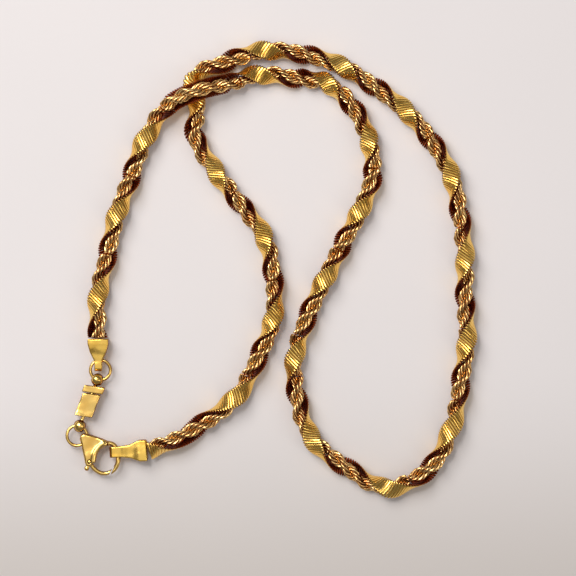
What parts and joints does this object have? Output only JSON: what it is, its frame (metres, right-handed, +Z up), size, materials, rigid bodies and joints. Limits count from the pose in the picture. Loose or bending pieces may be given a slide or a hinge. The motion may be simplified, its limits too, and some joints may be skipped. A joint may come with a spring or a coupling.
{
  "type": "chain necklace",
  "caption": "Gold ribbon chain necklace twisted round a thin rope chain, lying in open loops and closed by a lobster clasp, jump rings, a swivel link and folded end caps.",
  "frame": {"origin": "middle of the footprint, on the surface that the necklace lies on", "axes": "+X across the loops to the right, +Y from the clasp end towards the crossing, +Z up from the surface"},
  "size_m": [0.097, 0.1076, 0.0085],
  "materials": {
    "ribbon_gold": "polished",
    "rope_gold": "polished",
    "findings_gold": "polished"
  },
  "bodies": {
    "rest_run": {"ribbon_04": "ribbon_gold", "rope_04": "rope_gold", "ribbon_05": "ribbon_gold", "rope_05": "rope_gold", "ribbon_09": "ribbon_gold", "rope_09": "rope_gold", "ribbon_13": "ribbon_gold", "rope_13": "rope_gold", "ribbon_17": "ribbon_gold", "rope_17": "rope_gold", "ribbon_18": "ribbon_gold", "rope_18": "rope_gold", "end_cap_a": "findings_gold", "end_cap_b": "findings_gold", "swivel_ball_a": "findings_gold", "swivel_ball_b": "findings_gold", "clasp_body": "findings_gold", "clasp_pivot_pin": "findings_gold"},
    "left_run": {"ribbon_01": "ribbon_gold", "rope_01": "rope_gold", "ribbon_02": "ribbon_gold", "rope_02": "rope_gold", "ribbon_03": "ribbon_gold", "rope_03": "rope_gold"},
    "inner_right_run": {"ribbon_06": "ribbon_gold", "rope_06": "rope_gold", "ribbon_07": "ribbon_gold", "rope_07": "rope_gold", "ribbon_08": "ribbon_gold", "rope_08": "rope_gold"},
    "bottom_loop": {"ribbon_10": "ribbon_gold", "rope_10": "rope_gold", "ribbon_11": "ribbon_gold", "rope_11": "rope_gold", "ribbon_12": "ribbon_gold", "rope_12": "rope_gold"},
    "outer_right_run": {"ribbon_14": "ribbon_gold", "rope_14": "rope_gold", "ribbon_15": "ribbon_gold", "rope_15": "rope_gold", "ribbon_16": "ribbon_gold", "rope_16": "rope_gold"},
    "inner_left_run": {"ribbon_19": "ribbon_gold", "rope_19": "rope_gold", "ribbon_20": "ribbon_gold", "rope_20": "rope_gold", "ribbon_21": "ribbon_gold", "rope_21": "rope_gold", "ribbon_22": "ribbon_gold", "rope_22": "rope_gold"},
    "ring_a": {"jump_ring_a": "findings_gold"},
    "ring_b": {"jump_ring_b": "findings_gold"},
    "swivel_link": {"link_bar": "findings_gold", "link_box": "findings_gold"},
    "gate": {"clasp_lever": "findings_gold"}
  },
  "joints": [
    {"name": "left_run_lift", "type": "hinge", "parent": "rest_run", "child": "left_run", "pos_m": [-0.04084, -0.01622, 0.00524], "axis": [0.2802, 0.96, 0], "range_deg": [0, 45]},
    {"name": "inner_right_lift", "type": "hinge", "parent": "rest_run", "child": "inner_right_run", "pos_m": [0.01562, 0.04193, 0.00524], "axis": [-0.1529, -0.9882, 0], "range_deg": [0, 50]},
    {"name": "bottom_loop_lift", "type": "hinge", "parent": "rest_run", "child": "bottom_loop", "pos_m": [0.00533, -0.02522, 0.00524], "axis": [-0.9897, 0.1429, 0], "range_deg": [0, 50]},
    {"name": "outer_right_lift", "type": "hinge", "parent": "rest_run", "child": "outer_right_run", "pos_m": [0.04586, -0.01391, 0.00524], "axis": [0.401, -0.9161, 0], "range_deg": [0, 50]},
    {"name": "inner_left_lift", "type": "hinge", "parent": "rest_run", "child": "inner_left_run", "pos_m": [-0.01755, 0.03665, 0.00524], "axis": [-0.1426, -0.9898, 0], "range_deg": [0, 50]},
    {"name": "jump_ring_a_turn", "type": "hinge", "parent": "rest_run", "child": "ring_a", "pos_m": [-0.04024, -0.02372, 0.00264], "axis": [0, 0, 1], "continuous": true},
    {"name": "jump_ring_b_turn", "type": "hinge", "parent": "rest_run", "child": "ring_b", "pos_m": [-0.04574, -0.03912, 0.00264], "axis": [0, 0, 1], "continuous": true},
    {"name": "swivel_link_turn", "type": "hinge", "parent": "rest_run", "child": "swivel_link", "pos_m": [-0.04094, -0.02597, 0.00264], "axis": [-0.3567, -0.9342, 0], "continuous": true},
    {"name": "gate_open", "type": "hinge", "parent": "rest_run", "child": "gate", "pos_m": [-0.04274, -0.04522, 0.00264], "axis": [0, 0, 1], "range_deg": [0, 22], "stiffness_Nm_per_rad": 0.015, "springref_deg": -11.46}
  ]
}
